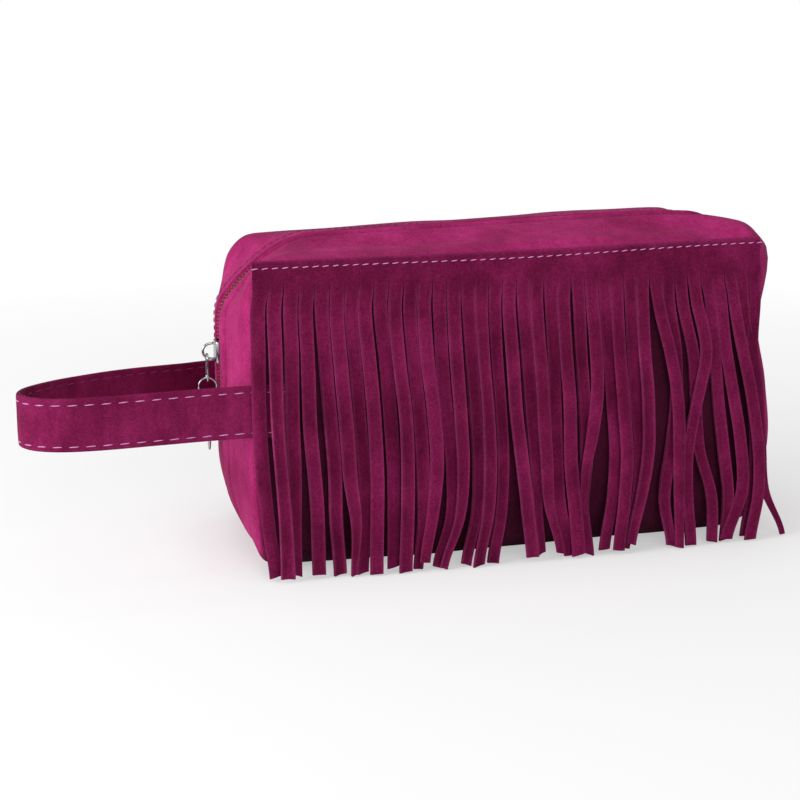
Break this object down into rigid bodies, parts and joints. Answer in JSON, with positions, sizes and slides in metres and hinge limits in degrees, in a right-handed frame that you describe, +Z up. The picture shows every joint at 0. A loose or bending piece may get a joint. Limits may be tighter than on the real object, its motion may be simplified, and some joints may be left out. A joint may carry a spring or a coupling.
{
  "type": "cosmetic pouch",
  "caption": "Boxy suede zip pouch with a hanging fringe over its front, a zip over the top and down both ends, and a wrist strap looped from one end.",
  "frame": {"origin": "centre of the flat base, on the surface the pouch stands on", "axes": "+Z up, the fringed front faces -Y, the strap points towards -X"},
  "size_m": [0.3027, 0.0963, 0.13],
  "materials": {
    "suede_bright": "napped suede, bright magenta",
    "suede_deep": "napped suede, deep magenta",
    "strap_suede": "napped suede, topstitched",
    "zip_tape": "woven polyester",
    "zip_coil": "nylon coil",
    "nickel": "nickel plated"
  },
  "bodies": {
    "bag": {"shell": "suede_bright", "fringe": "suede_deep", "strap": "strap_suede", "zip_tape_front": "zip_tape", "zip_tape_back": "zip_tape", "zip_teeth_front": "zip_coil", "zip_teeth_back": "zip_coil", "top_stop_front": "nickel", "top_stop_back": "nickel", "bottom_stop": "nickel"},
    "slider": {"slider": "nickel", "slider_bail": "nickel"},
    "link": {"pull_link": "nickel"},
    "ring": {"pull_ring": "nickel"},
    "tag": {"pull_tag": "nickel"}
  },
  "joints": [
    {"name": "slider_travel", "type": "slide", "parent": "bag", "child": "slider", "axis": [0, 0, 1], "range_m": [-0.014, 0.005]},
    {"name": "link_swing", "type": "hinge", "parent": "slider", "child": "link", "pos_m": [-0.1118, 0, 0.0788], "axis": [0, 1, 0], "range_deg": [0, 80]},
    {"name": "ring_swing", "type": "hinge", "parent": "link", "child": "ring", "pos_m": [-0.1118, 0, 0.0684], "axis": [0, 1, 0], "range_deg": [0, 45]},
    {"name": "tag_swing", "type": "hinge", "parent": "ring", "child": "tag", "pos_m": [-0.1118, 0, 0.0623], "axis": [1, 0, 0], "range_deg": [-25, 25]}
  ]
}
